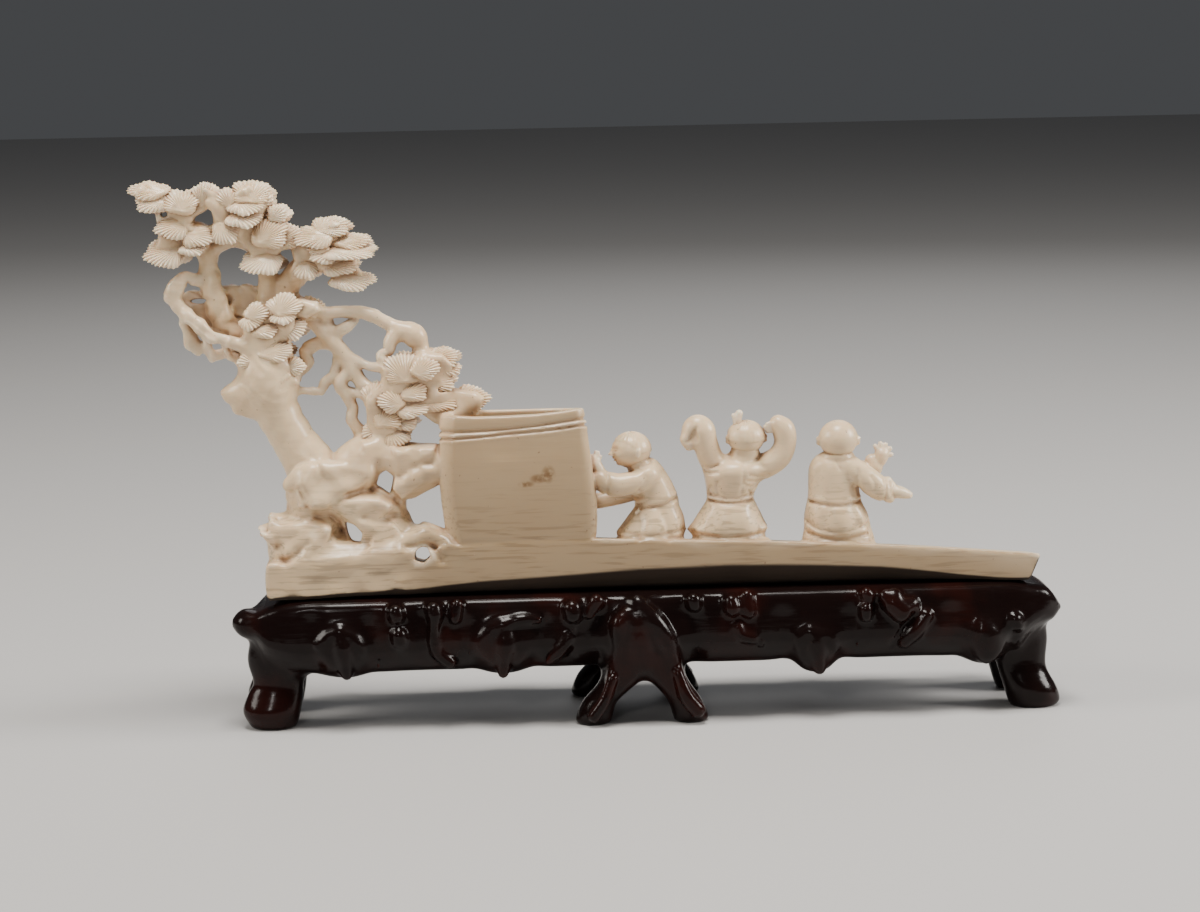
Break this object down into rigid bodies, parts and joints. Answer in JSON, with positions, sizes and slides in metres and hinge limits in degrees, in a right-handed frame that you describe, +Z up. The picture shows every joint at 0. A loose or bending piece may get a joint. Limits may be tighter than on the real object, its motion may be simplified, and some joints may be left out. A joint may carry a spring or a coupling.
{
  "type": "ivory figure group on a wood stand",
  "caption": "Carved ivory group of a pine, a pierced rock, an open water vat and playing boys, resting on a low root-form hardwood stand with paired feet.",
  "frame": {"origin": "middle of the whole group's footprint box, on the surface that the feet stand on", "axes": "+X along the group from the pine to the thin tip, -Y towards the flat sawn side that is shown, +Z up"},
  "size_m": [0.2232, 0.0428, 0.1324],
  "materials": {
    "ivory": "polished old ivory, warm cream with tan and pinkish patina in the carving, faint lengthwise grain and a small brown stain on the vat",
    "dark_hardwood": "near-black red-brown hardwood, waxed and glossy, with fine rubbing marks"
  },
  "bodies": {
    "root": {"ivory_carving": "ivory", "wood_stand": "dark_hardwood"}
  },
  "joints": []
}
